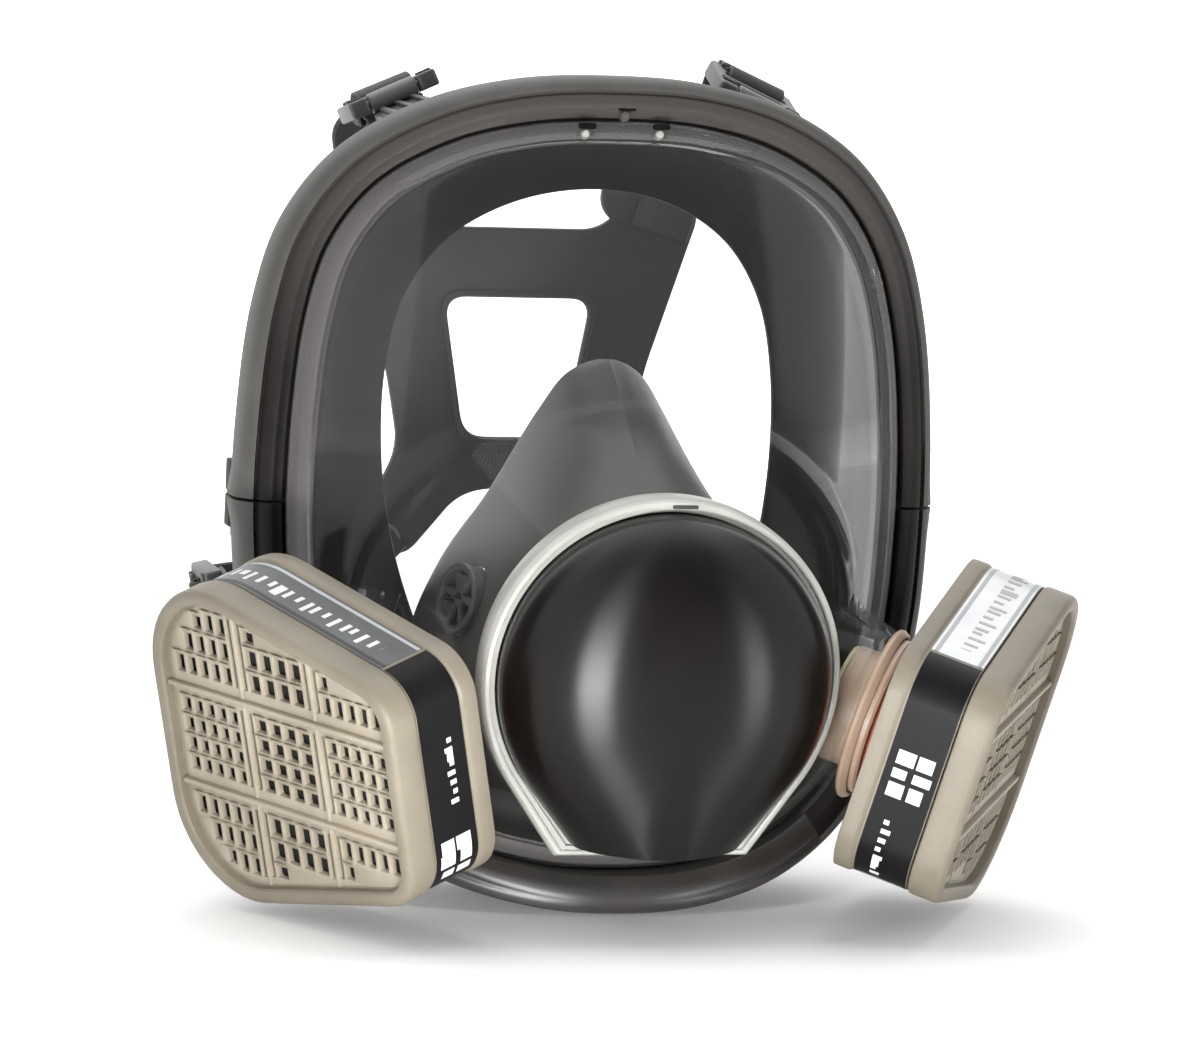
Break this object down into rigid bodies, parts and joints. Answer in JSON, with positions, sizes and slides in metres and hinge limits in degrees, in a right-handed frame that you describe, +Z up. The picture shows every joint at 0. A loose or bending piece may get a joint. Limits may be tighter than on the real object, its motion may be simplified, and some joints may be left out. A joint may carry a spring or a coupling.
{
  "type": "full face respirator",
  "caption": "Full face respirator: clear wrap-round lens, rubber face seal, nose cup, centre exhalation valve, twist-on filter cartridges and a strapped rubber head harness.",
  "frame": {"origin": "middle of the object's width and depth, on the surface that it stands on", "axes": "+Z up, mask facing -Y, +X to the right of someone who looks at its front"},
  "size_m": [0.2348, 0.1924, 0.2065],
  "materials": {
    "frame": "fine moulded grain",
    "seal": "matt moulded rubber",
    "lens": "clear polished",
    "nose": "matt silicone",
    "adapter": "satin moulded",
    "cover": "semi-gloss moulded",
    "valve": "thin translucent silicone",
    "gasket": "soft translucent",
    "cartridge": "satin moulded",
    "carbon": "granular",
    "felt": "pressed fibre",
    "harness": "matt moulded rubber",
    "buckle": "moulded",
    "steel": "zinc plated"
  },
  "bodies": {
    "mask": {"upper_frame": "frame", "lower_frame": "frame", "left_frame_screw": "steel", "right_frame_screw": "steel", "left_frame_nut": "steel", "right_frame_nut": "steel", "centre_adapter": "adapter", "exhalation_valve_seat": "adapter", "centre_gasket": "seal", "adapter_lock_ring": "adapter", "exhalation_cover": "cover", "lens": "lens", "faceseal": "seal", "nose_cup": "nose", "left_nose_valve_seat": "nose", "left_bayonet_port": "adapter", "left_port_gasket": "gasket", "upper_left_buckle_lug": "buckle", "upper_left_strap": "harness", "lower_left_buckle_lug": "buckle", "lower_left_strap": "harness", "right_nose_valve_seat": "nose", "right_bayonet_port": "adapter", "right_port_gasket": "gasket", "upper_right_buckle_lug": "buckle", "upper_right_strap": "harness", "lower_right_buckle_lug": "buckle", "lower_right_strap": "harness", "harness_cradle": "harness"},
    "left_cartridge": {"left_cartridge_body": "cartridge", "left_cartridge_lid": "cartridge", "left_carbon_bed": "carbon", "left_filter_pad": "felt"},
    "left_inhalation_flap": {"left_inhalation_flap": "valve"},
    "left_nose_flap": {"left_nose_valve_flap": "valve"},
    "upper_left_buckle": {"upper_left_buckle": "buckle", "upper_left_buckle_pin": "steel"},
    "lower_left_buckle": {"lower_left_buckle": "buckle", "lower_left_buckle_pin": "steel"},
    "right_cartridge": {"right_cartridge_body": "cartridge", "right_cartridge_lid": "cartridge", "right_carbon_bed": "carbon", "right_filter_pad": "felt"},
    "right_inhalation_flap": {"right_inhalation_flap": "valve"},
    "right_nose_flap": {"right_nose_valve_flap": "valve"},
    "upper_right_buckle": {"upper_right_buckle": "buckle", "upper_right_buckle_pin": "steel"},
    "lower_right_buckle": {"lower_right_buckle": "buckle", "lower_right_buckle_pin": "steel"},
    "exhalation_flap": {"exhalation_valve_flap": "valve"}
  },
  "joints": [
    {"name": "left_cartridge_twist", "type": "hinge", "parent": "mask", "child": "left_cartridge", "pos_m": [-0.06782, -0.04218, 0.04835], "axis": [-0.8386, -0.4648, -0.284], "range_deg": [0, 60]},
    {"name": "left_inhalation_flap_lift", "type": "slide", "parent": "mask", "child": "left_inhalation_flap", "axis": [0.8386, 0.4648, 0.284], "range_m": [0, 0.0015], "stiffness_N_per_m": 60},
    {"name": "left_nose_flap_lift", "type": "slide", "parent": "mask", "child": "left_nose_flap", "axis": [0.9324, 0.3008, -0.2005], "range_m": [0, 0.0015], "stiffness_N_per_m": 40},
    {"name": "upper_left_buckle_swing", "type": "hinge", "parent": "mask", "child": "upper_left_buckle", "pos_m": [-0.04789, 0.04153, 0.19538], "axis": [0.9108, 0, 0.413], "range_deg": [-20, 20]},
    {"name": "lower_left_buckle_swing", "type": "hinge", "parent": "mask", "child": "lower_left_buckle", "pos_m": [-0.08652, 0.046, 0.06195], "axis": [-0.2282, 0, 0.9736], "range_deg": [-20, 20]},
    {"name": "right_cartridge_twist", "type": "hinge", "parent": "mask", "child": "right_cartridge", "pos_m": [0.06782, -0.04218, 0.04835], "axis": [0.8386, -0.4648, -0.284], "range_deg": [0, 60]},
    {"name": "right_inhalation_flap_lift", "type": "slide", "parent": "mask", "child": "right_inhalation_flap", "axis": [-0.8386, 0.4648, 0.284], "range_m": [0, 0.0015], "stiffness_N_per_m": 60},
    {"name": "right_nose_flap_lift", "type": "slide", "parent": "mask", "child": "right_nose_flap", "axis": [-0.9324, 0.3008, -0.2005], "range_m": [0, 0.0015], "stiffness_N_per_m": 40},
    {"name": "upper_right_buckle_swing", "type": "hinge", "parent": "mask", "child": "upper_right_buckle", "pos_m": [0.04789, 0.04153, 0.19538], "axis": [0.9108, 0, -0.413], "range_deg": [-20, 20]},
    {"name": "lower_right_buckle_swing", "type": "hinge", "parent": "mask", "child": "lower_right_buckle", "pos_m": [0.08652, 0.046, 0.06195], "axis": [-0.2282, 0, -0.9736], "range_deg": [-20, 20]},
    {"name": "exhalation_flap_lift", "type": "slide", "parent": "mask", "child": "exhalation_flap", "axis": [0, -0.9962, -0.0872], "range_m": [0, 0.0015], "stiffness_N_per_m": 60}
  ]
}
